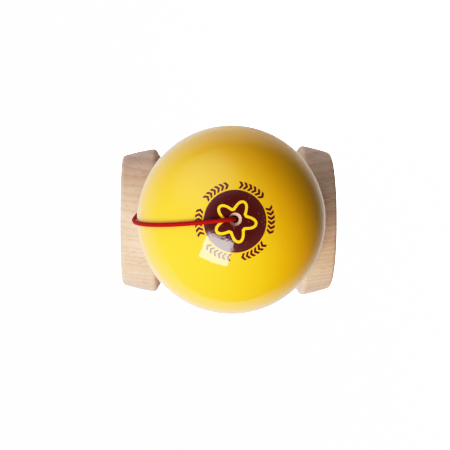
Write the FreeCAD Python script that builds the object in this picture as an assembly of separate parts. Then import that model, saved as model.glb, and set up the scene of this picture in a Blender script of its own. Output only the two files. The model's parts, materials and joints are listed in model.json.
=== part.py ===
"""A kendama: a wooden cup-and-ball toy, standing on its base cup with the ball on its spike.

Millimetres, +Z up along the handle, origin on the floor at the handle's axis.
+X points to the big cup, -X to the small cup. The string's hole is on the -Y side.
Each physical piece is one node. The string is four nodes, because its ends move apart.
"""

import FreeCAD, Part
import math
import os

V = FreeCAD.Vector

# The ball, whose standard size fixes every other one.
BALL_R = 30.0
BALL_MOUTH_R = 11.0
BALL_MOUTH_CHAMFER = 1.3
BALL_BORE_TOP = 5.0  # heights inside the ball are from its centre
BALL_CONE_TOP = 15.5
BALL_CONE_TOP_R = 6.0
BEAD_BORE_R = 4.2
BEAD_BORE_TOP = 24.0
BALL_STRING_HOLE_R = 1.1
BALL_COUNTERSINK_R = 2.05
BALL_COUNTERSINK_DEPTH = 1.0

# The cross-piece, turned about an axis along X.
CROSS_Z = 108.0
CROSS_HALF = 36.3
WAIST_R = 12.0
WAIST_HALF = 17.2
WAIST_BLEND_R = 13.0
SMALL_CUP = {"side": -1, "rim_r": 22.5, "mid_r": 24.15, "ridge_r": 25.15, "ridge_x": 24.65}
BIG_CUP = {"side": 1, "rim_r": 23.7, "mid_r": 25.27, "ridge_r": 26.35, "ridge_x": 25.95}
RIM_OUTER_ROUND = 1.6
RIDGE_ROUND = 1.6
WALL_BULGE_R = 60.0
LIP = 1.9  # from a cup's dish to its outer wall
DISH_R = 27.0  # tighter than the ball, so a caught ball sits on the lip
LIP_ROUND = 0.5

# The handle, turned about Z.
BASE_R = 19.0
BASE_SHOULDER_Z = 15.6
NECK_R = 7.6
NECK_Z = 31.0
GRIP_Z = 62.0
GRIP_R = 8.6
UPPER_GRIP_Z = 80.0
UPPER_GRIP_R = 10.35
COLLAR_R = 10.7
COLLAR_Z = 91.0
TENON_R = 8.85
TENON_Z = 95.6
TAPER_END_R = 8.5
TAPER_END_Z = CROSS_Z + WAIST_R
SPIKE_TIP_R = 1.9
HANDLE_LENGTH = 164.0
TAPER_GAP = 0.02

# How high the ball rests: its surface clears both ridges of the cross-piece.
BALL_Z = CROSS_Z + 43.1

# The string and what is on it.
STRING_R = 0.64
STRING_HOLE_R = 1.0
KNOT_POCKET_R = 2.2
KNOT_POCKET_START = 1.0
KNOT_R = 1.75
BEAD_R = 3.6
BEAD_HALF = 2.35
BEAD_HOLE_R = 1.0
BEAD_TOP = BALL_Z + 23.85
COIL_TOP = 90.1
COIL_BOTTOM = 84.5
COIL_GAP = 0.05
ARC_SHARE = 0.45

# Where the string runs, as the corners of straight runs that arcs join.
FROM_CROSSPIECE = [
    (0, 1.4, 108),
    (0, -3.6, 108),
    (0, -9.0, 108.05),
    (0.05, -14.4, 107.9),
    (0.9, -18.1, 104),
    (1.2, -17.4, 98.4),
    (2.6, -14.6, 93.6),
    (5.8, -11.3, 90.6),
    (8.5, -7.6, 89.3),
]
UP_TO_BALL = [
    (9.1, -6.55, 85.2),
    (12.0, -2.4, 85.5),
    (13.6, 3.2, 86.4),
    (11.3, 9.2, 88.7),
    (5.9, 13.2, 92.2),
    (-2.1, 14.9, 97.2),
    (-10.4, 15.5, 103.8),
    (-16.0, 16.2, 112.0),
    (-20.4, 16.8, 121.8),
    (-24.9, 14.9, 131.2),
    (-27.3, 7.6, 136.2),
    (-28.5, 4.2, 139.2),
]
OVER_BALL = [
    (-28.95, 2.9, 140.3),
    (-30.55, 0.9, 145.3),
    (-31.15, -0.4, 151.4),
    (-29.25, -1.35, 162.0),
    (-24.3, -1.75, 170.6),
    (-17.1, -1.6, 177.15),
    (-8.4, -0.85, 181.15),
    (-0.3, 0, 182.1),
    (-0.15, 0, 177.6),
    (0, 0.05, 173.4),
    (0.02, 0, 169.8),
]


def point(r, z):
    """A point of an outline turned about Z."""
    return V(r, 0, z)


def rounded(corners):
    """A wire through (r, z, radius) corners, each rounded by a tangent arc of its radius."""
    places = [point(r, z) for r, z, _ in corners]
    edges = []
    last = places[0]
    for before, here, after, (_, _, radius) in zip(places, places[1:], places[2:], corners[1:]):
        if radius:
            arc = tangent_arc(before, here, after, radius)
            edges.append(Part.LineSegment(last, arc.StartPoint).toShape())
            edges.append(arc.toShape())
            last = arc.EndPoint
        else:
            edges.append(Part.LineSegment(last, here).toShape())
            last = here
    edges.append(Part.LineSegment(last, places[-1]).toShape())
    return Part.Wire(edges)


def tangent_arc(before, here, after, radius):
    """The arc of that radius that rounds the corner at here."""
    back = (before - here).normalize()
    on = (after - here).normalize()
    half_turn = (math.pi - back.getAngle(on)) / 2
    reach = radius * math.tan(half_turn)
    middle = (back + on).normalize()
    depth = radius / math.cos(half_turn) - radius
    return Part.Arc(here + back * reach, here + middle * depth, here + on * reach)


def turned(corners):
    """The solid that a closed (r, z, radius) outline sweeps about Z."""
    wire = rounded(corners)
    closing = Part.LineSegment(wire.OrderedVertexes[-1].Point, wire.OrderedVertexes[0].Point)
    face = Part.Face(Part.Wire([*wire.Edges, closing.toShape()]))
    return face.revolve(V(), V(0, 0, 1), 360)


def rod(radius, start, direction, length):
    return Part.makeCylinder(radius, length, start, direction)


def dish(rim, outward, rim_r):
    """The ball-shaped hollow of a cup whose rim's plane is at rim and faces outward."""
    height = math.sqrt(DISH_R**2 - rim_r**2)
    return Part.makeSphere(DISH_R, rim + outward * height)


def round_lip(solid, rim, rim_r):
    """Breaks the sharp edge where a dish meets the rim's flat."""
    lips = [
        e for e in solid.Edges
        if not e.Degenerated
        and isinstance(e.Curve, Part.Circle)
        and abs(e.Curve.Radius - rim_r) < 0.01
        and (e.Curve.Center - rim).Length < 0.01
    ]
    return solid.makeFillet(LIP_ROUND, lips)


def make_handle():
    """The turned handle: base cup, grip, collar, tapered tenon and spike in one piece of wood."""
    solid = turned([
        (0, 0, 0),
        (BASE_R - 0.25, 0, 0.6),
        (BASE_R - 0.1, 5.0, 8.0),
        (BASE_R - 1.6, 10.6, 4.0),
        (BASE_R - 8.6, BASE_SHOULDER_Z, 9.0),
        (NECK_R + 0.35, NECK_Z - 7.0, 24.0),
        (NECK_R, NECK_Z + 6.0, 60.0),
        (GRIP_R, GRIP_Z, 120.0),
        (UPPER_GRIP_R, UPPER_GRIP_Z, 60.0),
        (COLLAR_R, COLLAR_Z, 0.8),
        (TENON_R, TENON_Z, 0.6),
        (TAPER_END_R, TAPER_END_Z, 30.0),
        (SPIKE_TIP_R + 0.15, HANDLE_LENGTH - 1.4, 2.0),
        (SPIKE_TIP_R - 1.1, HANDLE_LENGTH, 0.8),
        (0, HANDLE_LENGTH, 0),
    ])
    rim_r = BASE_R - LIP
    solid = solid.cut(dish(V(), V(0, 0, -1), rim_r))
    solid = round_lip(solid, V(), rim_r)
    front_hole = rod(STRING_HOLE_R, V(0, 2, CROSS_Z), V(0, -1, 0), 12)
    pocket = rod(KNOT_POCKET_R, V(0, KNOT_POCKET_START, CROSS_Z), V(0, 1, 0), 12)
    return solid.cut(front_hole).cut(pocket)


def cup_wall(cup):
    """The outline of one half of the cross-piece, from the waist out to the rim."""
    ridge_x = cup["ridge_x"]
    middle_x = (ridge_x + CROSS_HALF) / 2
    return [
        (WAIST_R, WAIST_HALF * cup["side"], WAIST_BLEND_R),
        (cup["ridge_r"], ridge_x * cup["side"], RIDGE_ROUND),
        (cup["mid_r"], middle_x * cup["side"], WALL_BULGE_R),
        (cup["rim_r"], CROSS_HALF * cup["side"], RIM_OUTER_ROUND),
    ]


def make_crosspiece():
    """The turned cross-piece with a cup at each end and a tapered hole for the handle."""
    solid = turned([
        (0, -CROSS_HALF, 0),
        *reversed(cup_wall(SMALL_CUP)),
        *cup_wall(BIG_CUP),
        (0, CROSS_HALF, 0),
    ])
    for cup in (SMALL_CUP, BIG_CUP):
        rim = V(0, 0, cup["side"] * CROSS_HALF)
        outward = V(0, 0, cup["side"])
        rim_r = cup["rim_r"] - LIP
        solid = solid.cut(dish(rim, outward, rim_r))
        solid = round_lip(solid, rim, rim_r)
    solid.rotate(V(), V(0, 1, 0), 90)
    solid.translate(V(0, 0, CROSS_Z))
    slope = (TENON_R - TAPER_END_R) / (TAPER_END_Z - TENON_Z)
    low, high = CROSS_Z - 16, CROSS_Z + 16
    wide = TENON_R + slope * (TENON_Z - low) + TAPER_GAP
    narrow = TENON_R - slope * (high - TENON_Z) + TAPER_GAP
    socket = Part.makeCone(wide, narrow, high - low, V(0, 0, low))
    string_hole = rod(STRING_HOLE_R + 0.1, V(0, 0, CROSS_Z), V(0, -1, 0), 16)
    return solid.cut(socket).cut(string_hole)


def make_ball():
    """The ball: a wide hole for the spike, a small bore for the bead, and the string's hole."""
    mouth_z = -math.sqrt(BALL_R**2 - BALL_MOUTH_R**2)
    below = -BALL_R - 2
    flare = BALL_MOUTH_R + BALL_MOUTH_CHAMFER + (mouth_z - below)
    hollow = turned([
        (0, below, 0),
        (flare, below, 0),
        (BALL_MOUTH_R, mouth_z + BALL_MOUTH_CHAMFER, 0),
        (BALL_MOUTH_R, BALL_BORE_TOP, 3.0),
        (BALL_CONE_TOP_R, BALL_CONE_TOP, 0),
        (BEAD_BORE_R, BALL_CONE_TOP, 0),
        (BEAD_BORE_R, BEAD_BORE_TOP, 1.0),
        (BALL_STRING_HOLE_R, BEAD_BORE_TOP, 0),
        (BALL_STRING_HOLE_R, BALL_R - BALL_COUNTERSINK_DEPTH, 0),
        (BALL_COUNTERSINK_R + 0.9, BALL_R + 0.85, 0),
        (0, BALL_R + 0.85, 0),
    ])
    solid = Part.makeSphere(BALL_R).cut(hollow)
    solid.translate(V(0, 0, BALL_Z))
    return solid


def make_bead():
    """The small bead that keeps the string's knot from pulling through the ball."""
    solid = turned([
        (0, -BEAD_HALF, 0),
        (BEAD_R - 0.9, -BEAD_HALF, 1.2),
        (BEAD_R, 0, 3.0),
        (BEAD_R - 0.9, BEAD_HALF, 1.2),
        (0, BEAD_HALF, 0),
    ])
    hole = rod(BEAD_HOLE_R, V(0, 0, -BEAD_R), V(0, 0, 1), 2 * BEAD_R)
    solid = solid.cut(hole)
    solid.translate(V(0, 0, BEAD_TOP - BEAD_HALF))
    return solid


def make_knot(centre):
    """The outside of a pulled-tight overhand knot."""
    return Part.makeSphere(KNOT_R, centre)


def string_tube(corners):
    """A tube along straight runs that arcs join, each arc as large as its two runs allow."""
    places = [V(*c) for c in corners]
    runs = [(b - a).Length for a, b in zip(places, places[1:])]
    edges = []
    radii = []
    last = places[0]
    for before, here, after, shorter in zip(
        places, places[1:], places[2:], map(min, runs, runs[1:])
    ):
        half_turn = (math.pi - (before - here).getAngle(after - here)) / 2
        radius = ARC_SHARE * shorter / math.tan(half_turn)
        arc = tangent_arc(before, here, after, radius)
        edges.append(Part.LineSegment(last, arc.StartPoint).toShape())
        edges.append(arc.toShape())
        radii.append(round(radius, 1))
        last = arc.EndPoint
    edges.append(Part.LineSegment(last, places[-1]).toShape())
    path = Part.Wire(edges)
    end = Part.Wire(Part.makeCircle(STRING_R, places[0], places[1] - places[0]))
    tube = path.makePipeShell([end], True, False)
    expected = math.pi * STRING_R**2 * path.Length
    print("string run", round(path.Length, 1), "mm, bend radii", radii, "volume share",
          round(tube.Volume / expected, 4))
    return tube


def make_coil():
    """The outside of the turns of string wound round the top of the grip."""
    inner_top, inner_bottom = handle_radius(COIL_TOP), handle_radius(COIL_BOTTOM)
    outer = max(inner_top, inner_bottom) + COIL_GAP + 2 * STRING_R
    return turned([
        (inner_bottom + COIL_GAP, COIL_BOTTOM, 0),
        (outer, COIL_BOTTOM, 0.4),
        (outer, COIL_TOP, 0.4),
        (inner_top + COIL_GAP, COIL_TOP, 0),
    ])


def handle_radius(z):
    """The grip's radius just below the collar, between its two last corners."""
    share = (z - UPPER_GRIP_Z) / (COLLAR_Z - UPPER_GRIP_Z)
    return UPPER_GRIP_R + (COLLAR_R - UPPER_GRIP_R) * share


def make_parts():
    coil = make_coil()
    handle_knot = make_knot(V(0, KNOT_POCKET_START + KNOT_R + 0.05, CROSS_Z))
    bead_knot = make_knot(V(0, 0, BEAD_TOP - 2 * BEAD_HALF - KNOT_R - 0.05))
    return {
        "handle_with_spike": make_handle(),
        "cup_crosspiece": make_crosspiece(),
        "ball": make_ball(),
        "swivel_bead": make_bead(),
        "handle_knot": handle_knot,
        "bead_knot": bead_knot,
        "string_coil": coil,
        "string_from_crosspiece": string_tube(FROM_CROSSPIECE).cut(coil).cut(handle_knot),
        "string_up_to_ball": string_tube(UP_TO_BALL).cut(coil),
        "string_over_ball": string_tube(OVER_BALL).cut(bead_knot),
    }


def main():
    os.makedirs("parts", exist_ok=True)
    for name, shape in make_parts().items():
        volume = round(shape.Volume / 1000, 3)
        print(name, "valid", shape.isValid(), "solids", len(shape.Solids), "cm3", volume)
        shape.exportStep(f"parts/{name}.step")


main()
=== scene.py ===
"""The looks of a kendama standing on its base cup, seen from straight above its spike.

Metres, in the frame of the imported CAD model; the sizes inside materials are in millimetres. The
wooden pieces keep their CAD shapes and get procedural beech and lacquer. The string and its two
knots are built here.
"""

import json
import math

import bpy
import numpy as np
from mathutils import Matrix, Vector


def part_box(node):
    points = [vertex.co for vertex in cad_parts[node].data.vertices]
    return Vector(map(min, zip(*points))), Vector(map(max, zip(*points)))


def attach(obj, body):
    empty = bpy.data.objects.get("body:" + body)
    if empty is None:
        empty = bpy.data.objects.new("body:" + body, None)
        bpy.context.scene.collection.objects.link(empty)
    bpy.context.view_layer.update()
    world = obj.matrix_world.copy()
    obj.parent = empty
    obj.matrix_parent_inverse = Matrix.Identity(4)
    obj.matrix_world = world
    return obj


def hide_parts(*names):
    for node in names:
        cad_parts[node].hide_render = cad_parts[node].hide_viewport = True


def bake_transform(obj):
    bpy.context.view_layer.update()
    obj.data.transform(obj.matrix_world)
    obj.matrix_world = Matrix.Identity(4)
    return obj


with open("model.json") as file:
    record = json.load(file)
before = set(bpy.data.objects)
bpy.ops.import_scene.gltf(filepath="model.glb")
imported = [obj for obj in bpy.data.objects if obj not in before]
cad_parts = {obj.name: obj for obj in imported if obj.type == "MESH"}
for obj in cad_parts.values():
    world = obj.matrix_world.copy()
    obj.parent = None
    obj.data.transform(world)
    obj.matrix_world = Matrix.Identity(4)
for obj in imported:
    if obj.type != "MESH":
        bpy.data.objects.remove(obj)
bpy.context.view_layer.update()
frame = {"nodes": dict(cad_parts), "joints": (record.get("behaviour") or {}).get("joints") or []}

MM = 0.001
BALL_CENTRE = Vector(next(joint["pos_m"] for joint in frame["joints"] if joint["name"] == "ball_spin"))
CROSS_LOW, CROSS_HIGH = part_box("cup_crosspiece")
CROSS_CENTRE = (CROSS_LOW + CROSS_HIGH) / 2
BEAD_ORIGIN = (0, 0, 0.17)

# The string and where it runs, as in the CAD model.
STRING_RADIUS = 0.00064
FROM_CROSSPIECE = [
    (0, 0.0014, 0.108),
    (0, -0.0036, 0.108),
    (0, -0.009, 0.10805),
    (0.00005, -0.0144, 0.1079),
    (0.0009, -0.0181, 0.104),
    (0.0012, -0.0174, 0.0984),
    (0.0026, -0.0146, 0.0936),
    (0.0058, -0.0113, 0.0906),
    (0.0085, -0.0076, 0.0893),
]
UP_TO_BALL = [
    (0.0091, -0.00655, 0.0852),
    (0.012, -0.0024, 0.0855),
    (0.0136, 0.0032, 0.0864),
    (0.0113, 0.0092, 0.0887),
    (0.0059, 0.0132, 0.0922),
    (-0.0021, 0.0149, 0.0972),
    (-0.0104, 0.0155, 0.1038),
    (-0.016, 0.0162, 0.112),
    (-0.0204, 0.0168, 0.1218),
    (-0.0249, 0.0149, 0.1312),
    (-0.0273, 0.0076, 0.1362),
]
OVER_BALL = [
    (-0.02895, 0.0029, 0.1403),
    (-0.03055, 0.0009, 0.1453),
    (-0.03115, -0.0004, 0.1514),
    (-0.02925, -0.00135, 0.162),
    (-0.0243, -0.00175, 0.1706),
    (-0.0171, -0.0016, 0.17715),
    (-0.0084, -0.00085, 0.18115),
    (-0.0003, 0, 0.1821),
    (-0.00015, 0, 0.1776),
    (0, 0.00005, 0.1734),
    (0.00002, 0, 0.1698),
]
COIL_TURNS = 3
COIL_POINTS_PER_TURN = 12
COIL_LINE_RADIUS = 0.01136
# A quadratic spline runs this much inside the corners of a turn's polygon.
COIL_SPLINE_SHRINK = (3 + math.cos(math.tau / COIL_POINTS_PER_TURN)) / 4


# ---------------------------------------------------------------- node trees


class Nodes:
    """Builds a node tree in few words. Every value given may be a socket or a number."""

    def __init__(self, owner):
        """owner is the material or the world whose tree this is."""
        owner.use_nodes = True
        self.owner = owner
        self.tree = owner.node_tree
        self.tree.nodes.clear()

    def add(self, kind, sockets=(), output=0, **settings):
        node = self.tree.nodes.new("ShaderNode" + kind)
        for name, value in settings.items():
            setattr(node, name, value)
        for socket, value in dict(sockets).items():
            self.put(node.inputs[socket], value)
        return node.outputs[output]

    def put(self, socket, value):
        if isinstance(value, bpy.types.NodeSocket):
            self.tree.links.new(value, socket)
        else:
            socket.default_value = value

    def maths(self, operation, a, b=0.0):
        return self.add("Math", {0: a, 1: b}, operation=operation)

    def plus(self, a, b):
        return self.maths("ADD", a, b)

    def minus(self, a, b):
        return self.maths("SUBTRACT", a, b)

    def times(self, a, b):
        return self.maths("MULTIPLY", a, b)

    def over(self, a, b):
        return self.maths("DIVIDE", a, b)

    def vector(self, operation, a, b=(0, 0, 0), output=0):
        return self.add("VectorMath", {0: a, 1: b}, output, operation=operation)

    def length(self, vector):
        return self.vector("LENGTH", vector, output=1)

    def step(self, value, low, high, to_low=0.0, to_high=1.0):
        """A smooth step of value from low to high."""
        sockets = {"Value": value, "From Min": low, "From Max": high, "To Min": to_low, "To Max": to_high}
        return self.add("MapRange", sockets, interpolation_type="SMOOTHSTEP")

    def noise(self, vector, scale=1.0, detail=2.0, roughness=0.5):
        sockets = {"Vector": vector, "Scale": scale, "Detail": detail, "Roughness": roughness}
        return self.add("TexNoise", sockets)

    def mix(self, factor, a, b):
        """Mixes two colours."""
        a, b = (c if isinstance(c, bpy.types.NodeSocket) else (*c, 1.0) for c in (a, b))
        return self.add("Mix", {"Factor": factor, 6: a, 7: b}, 2, data_type="RGBA")

    def blend_values(self, factor, a, b):
        return self.add("Mix", {"Factor": factor, 2: a, 3: b}, 0, data_type="FLOAT")

    def all_of(self, first, *others):
        """Where every mask holds."""
        for mask in others:
            first = self.times(first, mask)
        return first

    def place(self, origin=(0, 0, 0)):
        """The point on the object, in millimetres from origin."""
        point = self.add("TexCoord", output=3)
        moved = self.vector("SUBTRACT", point, tuple(origin))
        return self.vector("MULTIPLY", moved, (1 / MM,) * 3)

    def split(self, vector):
        node = self.add("SeparateXYZ", {0: vector}).node
        return node.outputs[0], node.outputs[1], node.outputs[2]

    def join(self, x, y, z):
        return self.add("CombineXYZ", {0: x, 1: y, 2: z})

    def bump(self, height, depth, normal=None):
        """A bump whose full height is depth metres, on top of the bump that normal is."""
        sockets = {"Height": height, "Distance": depth, "Strength": 1.0}
        if normal is not None:
            sockets["Normal"] = normal
        return self.add("Bump", sockets)

    def finish(self, **inputs):
        """Ends the tree in one Principled shader with those inputs, spaces written as underscores."""
        shader = self.tree.nodes.new("ShaderNodeBsdfPrincipled")
        for name, value in inputs.items():
            if isinstance(value, tuple):
                value = (*value, 1.0)
            self.put(shader.inputs[name.replace("_", " ")], value)
        output = self.tree.nodes.new("ShaderNodeOutputMaterial")
        self.tree.links.new(shader.outputs[0], output.inputs[0])
        return self.owner


def new_material(name):
    return Nodes(bpy.data.materials.new(name))


# ---------------------------------------------------------------- beech

BEECH_PALE, BEECH_TAN = (0.615, 0.433, 0.305), (0.55, 0.368, 0.247)
LATE_WOOD, FIBRE_BROWN, RAY_BROWN = (0.45, 0.27, 0.155), (0.48, 0.30, 0.185), (0.34, 0.165, 0.085)
RING_SPACING = 2.2
RING_WANDER = 3.4  # in rings
GRAIN_WAVER = 2.4
RAY_LENGTH, RAY_DEPTH, RAY_SPACING = 1.7, 4.0, 0.27
FIBRE_LENGTH, FIBRE_WIDTH = 5.0, 0.16
GRAIN_BUMP = 0.00003
LATHE_PITCH = 0.55
LATHE_BUMP = 0.000018


def beech_layers(n, origin, grain, pith, seed):
    """Beech as a solid texture. grain is the axis it runs along, X or Z. pith is where the tree's
    middle was, across the grain. Returns its colour, its bump height from 0 to 1, and its roughness."""
    x, y, z = n.split(n.place(origin))
    along, side, depth = {"X": (x, y, z), "Z": (z, x, y)}[grain]
    slow = n.vector("MULTIPLY", n.join(along, side, depth), (0.012, 0.05, 0.05))
    slow = n.vector("ADD", slow, (seed, seed * 1.7, -seed))
    waver = n.times(n.minus(n.noise(slow), 0.5), GRAIN_WAVER)
    side = n.plus(n.minus(side, pith[0]), waver)
    depth = n.minus(depth, pith[1])
    radial = n.length(n.join(side, depth, 0.0))
    around = n.times(n.maths("ARCTAN2", depth, side), math.hypot(*pith))

    # Growth rings: a soft rise to a thin darker line, then a sudden fall, unevenly spaced.
    uneven = n.noise(n.join(n.times(radial, 0.16), 0.0, seed), detail=1.0)
    ring = n.maths("FRACT", n.plus(n.over(radial, RING_SPACING), n.times(uneven, RING_WANDER)))
    late = n.all_of(n.step(ring, 0.30, 0.93), n.step(ring, 1.0, 0.95))

    # Rays: thin sheets, which the surface cuts as short dark flecks along the grain.
    bend = n.noise(n.join(n.over(along, 3.0), n.over(radial, 5.0), seed), detail=1.0)
    fleck_row = n.plus(n.over(radial, RAY_SPACING), n.times(bend, 4.0))
    ray_at = n.join(n.over(around, RAY_DEPTH), fleck_row, n.over(along, RAY_LENGTH))
    ray = n.step(n.noise(ray_at, detail=1.2), 0.575, 0.70)
    patchy = n.vector("ADD", n.vector("MULTIPLY", ray_at, (0.2, 0.05, 0.12)), (3, 1, seed))
    ray = n.all_of(ray, n.step(n.noise(patchy, detail=1.0), 0.36, 0.62, 0.4, 1.0))

    # Pores and fibres.
    fibre_at = n.join(n.over(radial, FIBRE_WIDTH), n.over(around, FIBRE_WIDTH), n.over(along, FIBRE_LENGTH))
    fibre = n.noise(fibre_at, roughness=0.6)
    cloud = n.noise(n.vector("MULTIPLY", slow, (2.0, 3.0, 3.0)), detail=3.0)

    colour = n.mix(n.step(cloud, 0.34, 0.68), BEECH_PALE, BEECH_TAN)
    colour = n.mix(n.times(late, 0.42), colour, LATE_WOOD)
    colour = n.mix(n.times(n.step(fibre, 0.35, 0.7), 0.20), colour, FIBRE_BROWN)
    colour = n.mix(n.times(ray, 0.56), colour, RAY_BROWN)
    height = n.minus(n.times(fibre, 0.5), n.times(ray, 0.6))
    rough = n.blend_values(n.plus(n.times(fibre, 0.6), n.times(ray, 0.3)), 0.45, 0.65)
    return colour, height, rough


def lathe_marks(n, origin, axis):
    """Very fine, uneven rings left by turning."""
    x, y, z = n.split(n.place(origin))
    along = {"X": x, "Z": z}[axis]
    wander = n.noise(n.join(n.times(along, 0.35), 0.0, 0.0), detail=3.0)
    phase = n.plus(n.times(along, math.tau / LATHE_PITCH), n.times(wander, 9.0))
    return n.plus(n.times(n.maths("SINE", phase), 0.25), wander)


def bare_beech(name, origin, grain, pith, seed):
    """Sanded, unfinished turned beech."""
    n = new_material(name)
    colour, height, rough = beech_layers(n, origin, grain, pith, seed)
    normal = n.bump(lathe_marks(n, origin, grain), LATHE_BUMP)
    normal = n.bump(height, GRAIN_BUMP, normal)
    return n.finish(Base_Color=colour, Roughness=rough, Normal=normal, Specular_IOR_Level=0.25)


# ---------------------------------------------------------------- the ball's lacquer and print

LACQUER_YELLOW, LACQUER_YELLOW_DEEP = (0.88, 0.455, 0.005), (0.85, 0.438, 0.004)
INK_RED, INK_YELLOW = (0.074, 0.005, 0.005), (0.90, 0.56, 0.012)
SPECK_BROWN, DUST_PINK = (0.25, 0.11, 0.01), (0.50, 0.33, 0.28)
COAT_STARTS, COAT_WHOLE = 29.86, 29.94  # from the ball's middle; deeper in is bare wood
PEEL_DEPTH = 0.000011
BORE_BUMP = 0.00004
INK_RIPPLE = 3.0  # how many times the lacquer's orange peel
LACQUER_GLOSS = 0.87  # against the ink's

PRINT_MIDDLE = Vector((0.0, -0.0006, 0.0))
PRINT_SOFT = 0.05  # half the width of the print's soft edge
DISC_R = 9.35
LOBES, LOBE_R, LOBE_SWING, LOBE_TURN = 5, 4.9, 1.35, 0.6
LOBE_LINE = (0.45, 0.37)  # from the line's middle to the two sides of its soft edge
RING_INNER, RING_OUTER = 9.78, 11.95
RING_GROUPS = 6
GROUP_SHARE = 0.73
BARS = 6
BAR_EDGE = (0.17, 0.22)  # as shares of the way from one bar to the next
CHEVRON_LEAN = -0.06


def lobed_line(n, out, angle):
    """A plain closed line with round lobes."""
    swing = n.plus(n.times(angle, float(LOBES)), LOBE_TURN)
    middle = n.plus(n.times(n.maths("COSINE", swing), LOBE_SWING), LOBE_R)
    away = n.maths("ABSOLUTE", n.minus(out, middle))
    # Divided by how steeply the line crosses the circles, so it is equally wide all along.
    slope = n.over(n.times(n.maths("SINE", swing), LOBE_SWING * LOBES), n.maths("MAXIMUM", out, 2.0))
    steep = n.maths("SQRT", n.plus(n.times(slope, slope), 1.0))
    return n.step(n.over(away, steep), *LOBE_LINE)


def chevron_ring(n, out, angle):
    """Groups of small chevrons that follow each other round a ring."""
    point = n.maths("ABSOLUTE", n.minus(out, (RING_INNER + RING_OUTER) / 2))
    turn = n.over(n.plus(angle, math.pi * (1 + GROUP_SHARE / RING_GROUPS)), math.tau)
    group = n.maths("FRACT", n.times(turn, float(RING_GROUPS)))
    bar = n.times(n.plus(group, n.times(point, CHEVRON_LEAN)), BARS / GROUP_SHARE)
    inside = n.all_of(n.maths("LESS_THAN", bar, BARS), n.maths("GREATER_THAN", bar, 0.0))
    bars = n.all_of(inside, n.step(n.maths("PINGPONG", bar, 0.5), *BAR_EDGE))
    inner = n.step(out, RING_INNER - PRINT_SOFT, RING_INNER + PRINT_SOFT)
    outer = n.step(out, RING_OUTER + PRINT_SOFT, RING_OUTER - PRINT_SOFT)
    return n.all_of(inner, outer, bars)


def printed_masks(n, place):
    """Where the emblem's disc, yellow line and chevrons are, round the string's hole."""
    x, y, z = n.split(place)
    out = n.length(n.join(x, y, 0.0))
    angle = n.maths("ARCTAN2", y, x)
    above = n.step(z, 5.0, 6.0)
    disc = n.all_of(above, n.step(out, DISC_R + PRINT_SOFT, DISC_R - PRINT_SOFT))
    return disc, n.all_of(disc, lobed_line(n, out, angle)), n.all_of(above, chevron_ring(n, out, angle))


def dots(n, place, scale, radius, patches):
    """Scattered dots. radius is where a dot starts and where it is whole. patches is the scale of
    the patches that have dots, and where in their noise they start and are whole."""
    from_dot = n.add("TexVoronoi", {"Vector": place, "Scale": scale})
    patch_scale, starts, whole = patches
    return n.all_of(n.step(from_dot, *radius), n.step(n.noise(place, patch_scale, 0.0), starts, whole))


def lacquered_ball(name):
    """Gloss yellow lacquer outside, bare beech in the holes, and the printed emblem."""
    n = new_material(name)
    place = n.place(BALL_CENTRE)
    wood, wood_height, wood_rough = beech_layers(n, BALL_CENTRE, grain="Z", pith=(38.0, 21.0), seed=4.0)
    coated = n.step(n.length(place), COAT_STARTS, COAT_WHOLE)
    disc, line, chevrons = printed_masks(n, n.place(BALL_CENTRE + PRINT_MIDDLE))

    paint = n.mix(n.noise(n.vector("MULTIPLY", place, (0.05,) * 3)), LACQUER_YELLOW, LACQUER_YELLOW_DEEP)
    paint = n.mix(n.maths("MAXIMUM", disc, chevrons), paint, INK_RED)
    paint = n.mix(line, paint, INK_YELLOW)
    specks = dots(n, place, 0.9, radius=(0.14, 0.08), patches=(0.4, 0.66, 0.69))
    paint = n.mix(n.times(specks, 0.8), paint, SPECK_BROWN)
    dust = n.all_of(disc, dots(n, place, 1.2, radius=(0.20, 0.12), patches=(0.6, 0.58, 0.62)))
    paint = n.mix(n.times(dust, 0.35), paint, DUST_PINK)

    # Lacquer levels itself but for a faint orange peel. The ink's film is rougher.
    peel = n.noise(place, 0.55, roughness=0.45)
    ripple = n.times(n.all_of(disc, n.noise(place, 1.2, 3.0, 0.6)), INK_RIPPLE)
    normal = n.bump(n.plus(peel, ripple), PEEL_DEPTH)
    normal = n.bump(n.times(wood_height, n.minus(1.0, coated)), BORE_BUMP, normal)
    return n.finish(
        Base_Color=n.mix(coated, wood, paint),
        Roughness=n.blend_values(coated, wood_rough, 0.30),
        Normal=normal,
        Specular_IOR_Level=0.04,
        Coat_Weight=n.times(coated, n.blend_values(disc, LACQUER_GLOSS, 1.0)),
        Coat_Roughness=0.018,
        Coat_IOR=1.5,
        Coat_Normal=normal,
    )


# ---------------------------------------------------------------- the string

STRANDS = 4  # each way round
BRAID_PITCH = 0.0052
STRAND_RISE = 0.13  # shares of the string's radius
STRAND_SWAP = 0.06
STRING_STEP = 0.00014
STRING_SIDES, KNOT_SIDES = 20, 16
KNOT_POINTS = 120
KNOT_STRING_RADIUS = STRING_RADIUS * 0.98  # pulled tight
KNOT_SPREAD = 0.20  # shares of the CAD knot's radius
KNOT_LIFT = 0.27
FUZZ_BUMP = 0.00004
# The darkest red is painted shade in the grooves between the strands.
PAINTED_GROOVE_SHADE_RED, STRAND_RED, FUZZ_RED = (0.06, 0.0006, 0.0006), (0.34, 0.0022, 0.0018), (0.40, 0.005, 0.004)


def spline_points(points):
    """Points on the smooth line that has those control points."""
    curve = bpy.data.curves.new("line", "CURVE")
    curve.dimensions = "3D"
    spline = curve.splines.new("NURBS")
    spline.points.add(len(points) - 1)
    for place, point in zip(spline.points, points):
        place.co = (*point, 1.0)
    spline.order_u = 3
    spline.use_endpoint_u = True
    spline.resolution_u = 12
    holder = bpy.data.objects.new("line", curve)
    mesh = bpy.data.meshes.new_from_object(holder)
    line = np.array([v.co for v in mesh.vertices])
    bpy.data.meshes.remove(mesh)
    bpy.data.curves.remove(curve)
    return line


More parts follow.
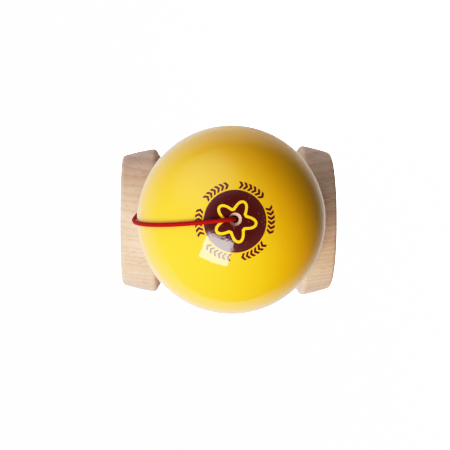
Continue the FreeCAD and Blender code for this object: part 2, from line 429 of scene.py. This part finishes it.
def distances(line):
    """How far along the line each of its points is."""
    return np.concatenate([[0.0], np.cumsum(np.linalg.norm(np.diff(line, axis=0), axis=1))])


def evenly(line, step):
    """The line again, with points step apart, and how far along it they are."""
    along = distances(line)
    at = np.linspace(0.0, along[-1], int(along[-1] / step) + 1)
    return np.stack([np.interp(at, along, line[:, k]) for k in range(3)], axis=1), at


def carried_frames(line):
    """Unit vectors across a line that turn as little as possible along it."""
    ahead = np.gradient(line, axis=0)
    ahead /= np.linalg.norm(ahead, axis=1)[:, None]
    slanted = (0.3, 0.5, 0.8)  # any direction but the line's first
    side = np.cross(ahead[0], slanted)
    sides = []
    for direction in ahead:
        side = side - direction * (side @ direction)
        side = side / np.linalg.norm(side)
        sides.append(side)
    sides = np.array(sides)
    return sides, np.cross(ahead, sides)


def braid_height(turn, along):
    """How far a round braid's surface stands above its core, as a share of its radius. Strands
    run both ways round, and each goes over and under the others in turn."""
    slant = along * (math.tau / BRAID_PITCH)
    swap = STRAND_SWAP * np.cos(STRANDS * turn)
    heights = []
    for way in (1, -1):
        across = np.angle(np.exp(1j * STRANDS * (turn - way * slant))) / math.pi
        heights.append(way * swap + STRAND_RISE * np.sqrt(np.clip(1 - (across * 1.04) ** 2, 0, 1)))
    return np.maximum(*heights)


def tube_faces(count, sides, closed):
    """Quads between count rings of that many sides, and a fan over each end unless it is closed.
    The fans' middles come after the rings' points."""
    faces = []
    for i in range(count if closed else count - 1):
        here, ahead = i * sides, (i + 1) % count * sides
        for k in range(sides):
            beside = (k + 1) % sides
            faces.append((here + k, here + beside, ahead + beside, ahead + k))
    if not closed:
        for middle, end, turned in ((count * sides, 0, -1), (count * sides + 1, count - 1, 1)):
            for k in range(sides):
                pair = (end * sides + k, end * sides + (k + 1) % sides)[::turned]
                faces.append((*pair, middle))
    return faces


def braided_tube(name, line, along, radius, sides, closed=False):
    """A tube round a line with the relief of a braid, whose height is kept as an attribute that the
    material uses for painted shade in the grooves.
    """
    side, up = carried_frames(line)
    turn = np.linspace(0, math.tau, sides, endpoint=False)
    height = braid_height(turn[None, :], along[:, None])
    reach = radius * (1 - STRAND_RISE + height)
    rings = (
        line[:, None, :]
        + reach[..., None] * np.cos(turn)[None, :, None] * side[:, None, :]
        + reach[..., None] * np.sin(turn)[None, :, None] * up[:, None, :]
    )
    points = rings.reshape(-1, 3).tolist()
    if not closed:
        points += [tuple(line[0]), tuple(line[-1])]
    mesh = bpy.data.meshes.new(name)
    mesh.from_pydata(points, [], tube_faces(len(line), sides, closed))
    values = np.zeros(len(points), np.float32)
    values[: height.size] = height.ravel() / (STRAND_RISE + STRAND_SWAP)
    mesh.attributes.new("groove", "FLOAT", "POINT").data.foreach_set("value", values)
    mesh.shade_smooth()
    piece = bpy.data.objects.new(name, mesh)
    bpy.context.scene.collection.objects.link(piece)
    return piece


def red_braid():
    """Red braided nylon, with painted shade between its strands."""
    n = new_material("red_braid")
    groove = n.add("Attribute", output=2, attribute_name="groove")
    fuzz = n.noise(n.place(), 9.0, roughness=0.6)
    # Painted shade: the grooves between the strands get a much darker red.
    colour = n.mix(n.step(groove, 0.0, 0.9), PAINTED_GROOVE_SHADE_RED, STRAND_RED)
    colour = n.mix(n.times(n.step(fuzz, 0.45, 0.75), 0.3), colour, FUZZ_RED)
    return n.finish(
        Base_Color=colour,
        Roughness=0.6,
        Normal=n.bump(fuzz, FUZZ_BUMP),
        Specular_IOR_Level=0.05,
        Sheen_Weight=0.02,
        Sheen_Roughness=0.4,
    )


def coil_points():
    """The corners of the turns wound round the handle, between the string's two free runs."""
    first, last = Vector(FROM_CROSSPIECE[-1]), Vector(UP_TO_BALL[0])
    start, end = (math.atan2(p.y, p.x) for p in (first, last))
    steps = COIL_TURNS * COIL_POINTS_PER_TURN
    radius = COIL_LINE_RADIUS / COIL_SPLINE_SHRINK
    points = []
    for i in range(1, steps):
        share = i / steps
        angle = start + (end - start) * share + math.tau * COIL_TURNS * share
        height = first.z + (last.z - first.z) * share
        points.append((radius * math.cos(angle), radius * math.sin(angle), height))
    return points


def knot_points(centre, radius):
    """An overhand knot pulled tight, as a closed trefoil."""
    points = []
    for t in np.linspace(0, math.tau, KNOT_POINTS, endpoint=False):
        x = KNOT_SPREAD * (math.sin(t) + 2 * math.sin(2 * t))
        y = KNOT_SPREAD * (math.cos(t) - 2 * math.cos(2 * t))
        z = -KNOT_LIFT * math.sin(3 * t)
        points.append([centre[0] + radius * x, centre[1] + radius * y, centre[2] + radius * z])
    return np.array(points)


def make_knot(name, node, body):
    low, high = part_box(node)
    line = knot_points((low + high) / 2, (high.x - low.x) / 2)
    knot = braided_tube(name, line, distances(line), KNOT_STRING_RADIUS, KNOT_SIDES, closed=True)
    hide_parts(node)
    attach(knot, body)
    return knot


def make_string():
    """The one string, from its knot in the handle to its knot in the ball."""
    route = [*FROM_CROSSPIECE, *coil_points(), *UP_TO_BALL, *OVER_BALL]
    line, along = evenly(spline_points(route), STRING_STEP)
    string = braided_tube("string", line, along, STRING_RADIUS, STRING_SIDES)
    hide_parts("string_from_crosspiece", "string_coil", "string_up_to_ball", "string_over_ball")
    knots = [
        make_knot("knot_in_handle", "handle_knot", "ken"),
        make_knot("knot_under_bead", "bead_knot", "string_head"),
    ]
    material = red_braid()
    for piece in (string, *knots):
        piece.data.materials.append(material)
    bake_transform(string)


# ---------------------------------------------------------------- surroundings

SOFT_BOX_TOWARD = Vector((-0.306, -0.576, 0.740))
SOFT_BOX_SIZE = (0.575, 0.585)
SOFT_BOX_ROLL = math.radians(9)
SOFT_BOX_WATTS = 13.2
FILL_PLACE, FILL_AIM = Vector((0.33, 0.0, 0.02)), Vector((CROSS_HIGH.x, 0.0, CROSS_CENTRE.z - 0.004))
FILL_CONE = math.radians(9.6)
FILL_WATTS = 2.6

BOARD_LEFT, BOARD_RIGHT, BOARD_FRONT, BOARD_BACK = -0.50, 0.50, -0.34, 1.10
# The board's colours are painted light and shade: a cool tint of light at the left and the front, a warm
# one at the back right, and painted shade far to the right and towards the back.
# Its places are in millimetres.
BOARD_COOL, BOARD_WARM, BOARD_PAINTED_SHADE = (0.72, 0.765, 0.93), (0.84, 0.775, 0.69), (0.065, 0.053, 0.037)
# Where one colour starts to turn into the next, and where it has.
COOL_TO_WARM_X, COOL_TO_WARM_Y = (-80.0, 45.0), (-130.0, 10.0)
WARM_TO_PAINTED_SHADE_X, PAINTED_FALLOFF_Y = (15.0, 295.0), (150.0, 1100.0)
SHADOW_X = SHADOW_Y = 85.0  # the ball's shadow falls round here
PAINTED_LIGHT_OVER_SHADOW = 0.4  # and there the board is painted paler, as painted light over that shadow
SHADOW_EDGES = (130.0, 30.0)
CONTACT_SHADE = (19.0, 34.0)  # from the handle's axis; inside it the glow fades, so the board's real shade shows in a painted ring
CONTACT_GLOW, BOARD_GLOW = 0.12, 2.6

# The room is lightest at the left, dark overhead, with a pale patch high at the back left.
ROOM_MIDDLE, ROOM_SLOPE, ROOM_DARKEST = 0.40, (-0.62, -0.08, 0.33), 0.01
ROOM_COOL, ROOM_WARM = (0.92, 0.98, 1.10), (1.10, 0.93, 0.68)  # at the left and at the right
LEFT_TO_RIGHT = (-0.4, 0.5)
OVERHEAD, OVERHEAD_LIGHT = (0.73, 0.93), 0.03
PATCH_TOWARD, PATCH_LIGHT, PATCH_COLOUR = (-0.50, 0.71, 0.50), 1.05, (0.93, 1.02, 1.22)
PATCH_EDGES = (0.7, 1.0)
ROOM_AS_SEEN = 3.0

# A camera's usual contrast: deeper shadows, and highlights that ease into white.
TONE_CURVE = [
    (0.05, 0.040),
    (0.10, 0.085),
    (0.20, 0.180),
    (0.30, 0.285),
    (0.42, 0.42),
    (0.55, 0.56),
    (0.70, 0.68),
    (0.90, 0.80),
    (1.20, 0.93),
    (1.50, 0.985),
    (2.00, 1.0),
]
TONE_WHITE = 3.0

CAMERA_FROM_BALL = Vector((-0.0165, -0.002, 0.415))
CAMERA_AIM_FROM_BALL = Vector((-0.00198, -0.00169, 0))
CAMERA_LENS = 104.4
CAMERA_SENSOR = 36.0


def board_material():
    """It glows plain white for the camera only, as in a cut-out picture, but for a soft shade where the
    base touches it: there the glow fades in a painted ring and the board's real shade shows. Its colours
    are painted light and shade, which the toy's reflections show."""
    n = new_material("board")
    x, y, _ = n.split(n.place())
    # Tints that stand in for cool light at the left and the front and warm light at the back right.
    right_half = n.mix(n.step(y, *COOL_TO_WARM_Y), BOARD_COOL, BOARD_WARM)
    colour = n.mix(n.step(x, *COOL_TO_WARM_X), BOARD_COOL, right_half)
    # Painted shade: the board turns dark far to the right.
    colour = n.mix(n.step(x, *WARM_TO_PAINTED_SHADE_X), colour, BOARD_PAINTED_SHADE)
    from_shadow = n.length(n.join(n.minus(x, SHADOW_X), n.minus(y, SHADOW_Y), 0.0))
    # Painted light: the board is paler where the ball's shadow falls.
    colour = n.mix(n.step(from_shadow, *SHADOW_EDGES, 0.0, PAINTED_LIGHT_OVER_SHADOW), colour, BOARD_WARM)
    # Painted shade: the board turns towards black at the back.
    painted_falloff_back = n.step(y, *PAINTED_FALLOFF_Y, 0.0, 0.85)
    # The board glows for the camera, but less in a ring round the base, where its real shade shows.
    glow = n.step(n.length(n.join(x, y, 0.0)), *CONTACT_SHADE, CONTACT_GLOW, BOARD_GLOW)
    return n.finish(
        Base_Color=n.mix(painted_falloff_back, colour, (0.0, 0.0, 0.0)),
        Roughness=0.7,
        Specular_IOR_Level=0.2,
        Emission_Color=(1.0, 1.0, 1.0),
        Emission_Strength=n.times(n.add("LightPath"), glow),
    )


def make_board():
    mesh = bpy.data.meshes.new("board")
    corners = [
        (BOARD_LEFT, BOARD_FRONT, 0),
        (BOARD_RIGHT, BOARD_FRONT, 0),
        (BOARD_RIGHT, BOARD_BACK, 0),
        (BOARD_LEFT, BOARD_BACK, 0),
    ]
    mesh.from_pydata(corners, [], [(0, 1, 2, 3)])
    mesh.materials.append(board_material())
    piece = bpy.data.objects.new("board", mesh)
    bpy.context.scene.collection.objects.link(piece)


def hang(light, place, aim, roll=0.0):
    """Puts a light at place, turned towards aim."""
    lamp = bpy.data.objects.new(light.name, light)
    lamp.location = place
    lamp.rotation_mode = "QUATERNION"
    turn = Matrix.Rotation(roll, 4, "Z").to_quaternion()
    lamp.rotation_quaternion = (aim - place).to_track_quat("-Z", "Y") @ turn
    bpy.context.scene.collection.objects.link(lamp)


def soft_box():
    """One large soft light at the front left."""
    light = bpy.data.lights.new("soft_box", "AREA")
    light.shape = "RECTANGLE"
    light.size, light.size_y = SOFT_BOX_SIZE
    light.energy = SOFT_BOX_WATTS
    hang(light, BALL_CENTRE + SOFT_BOX_TOWARD.normalized(), BALL_CENTRE, SOFT_BOX_ROLL)


def low_fill():
    """A narrow low light into the big cup's dish at the dark right side. It passes under the ball."""
    light = bpy.data.lights.new("low_fill", "SPOT")
    light.energy = FILL_WATTS
    light.spot_size = FILL_CONE
    light.spot_blend = 0.35
    light.shadow_soft_size = 0.006
    hang(light, FILL_PLACE, FILL_AIM)


def room():
    """Dim light from the room. The camera sees plain white."""
    world = bpy.data.worlds.new("room")
    bpy.context.scene.world = world
    n = Nodes(world)
    toward = n.add("TexCoord")
    rightward, _, upward = n.split(toward)
    slope = n.plus(n.vector("DOT_PRODUCT", toward, ROOM_SLOPE, output=1), ROOM_MIDDLE)
    patch = n.step(n.vector("DOT_PRODUCT", toward, PATCH_TOWARD, output=1), *PATCH_EDGES)
    light = n.plus(n.maths("MAXIMUM", slope, ROOM_DARKEST), n.times(patch, PATCH_LIGHT))
    light = n.times(light, n.step(upward, *OVERHEAD, 1.0, OVERHEAD_LIGHT))
    colour = n.mix(n.step(rightward, *LEFT_TO_RIGHT), ROOM_COOL, ROOM_WARM)
    colour = n.mix(patch, colour, PATCH_COLOUR)
    strength = n.blend_values(n.add("LightPath"), light, ROOM_AS_SEEN)
    shine = n.add("Background", {"Color": colour, "Strength": strength})
    n.put(n.tree.nodes.new("ShaderNodeOutputWorld").inputs[0], shine)


def set_tones():
    view = bpy.context.scene.view_settings
    view.view_transform = "Standard"
    view.use_curve_mapping = True
    mapping = view.curve_mapping
    mapping.clip_max_x = TONE_WHITE
    points = mapping.curves[3].points
    points[1].location = (TONE_WHITE, 1.0)
    for place in TONE_CURVE:
        points.new(*place)
    mapping.update()


def make_camera():
    """Straight above the spike and a little to the left, with a long lens."""
    data = bpy.data.cameras.new("camera")
    data.lens = CAMERA_LENS
    data.sensor_width = CAMERA_SENSOR
    camera = bpy.data.objects.new("camera", data)
    camera.location = BALL_CENTRE + CAMERA_FROM_BALL
    camera.rotation_mode = "QUATERNION"
    looking = (CAMERA_AIM_FROM_BALL - CAMERA_FROM_BALL).normalized()
    right = looking.cross(Vector((0, 1, 0))).normalized()
    up = right.cross(looking)
    camera.rotation_quaternion = Matrix((right, up, -looking)).transposed().to_quaternion()
    bpy.context.scene.collection.objects.link(camera)
    bpy.context.scene.camera = camera


# ---------------------------------------------------------------- the whole


def paint(node, material):
    """Gives a CAD piece its material."""
    piece = frame["nodes"][node]
    piece.material_slots[0].material = material
    piece.data.shade_smooth()


make_camera()
make_string()
paint("handle_with_spike", bare_beech("handle_beech", (0, 0, 0), grain="Z", pith=(57.0, -24.0), seed=1.3))
paint(
    "cup_crosspiece",
    bare_beech("crosspiece_beech", CROSS_CENTRE, grain="X", pith=(-82.0, -14.0), seed=2.6),
)
paint("swivel_bead", bare_beech("bead_beech", BEAD_ORIGIN, grain="Z", pith=(9.0, 14.0), seed=7.1))
paint("ball", lacquered_ball("yellow_lacquer"))
make_board()
soft_box()
low_fill()
room()
set_tones()
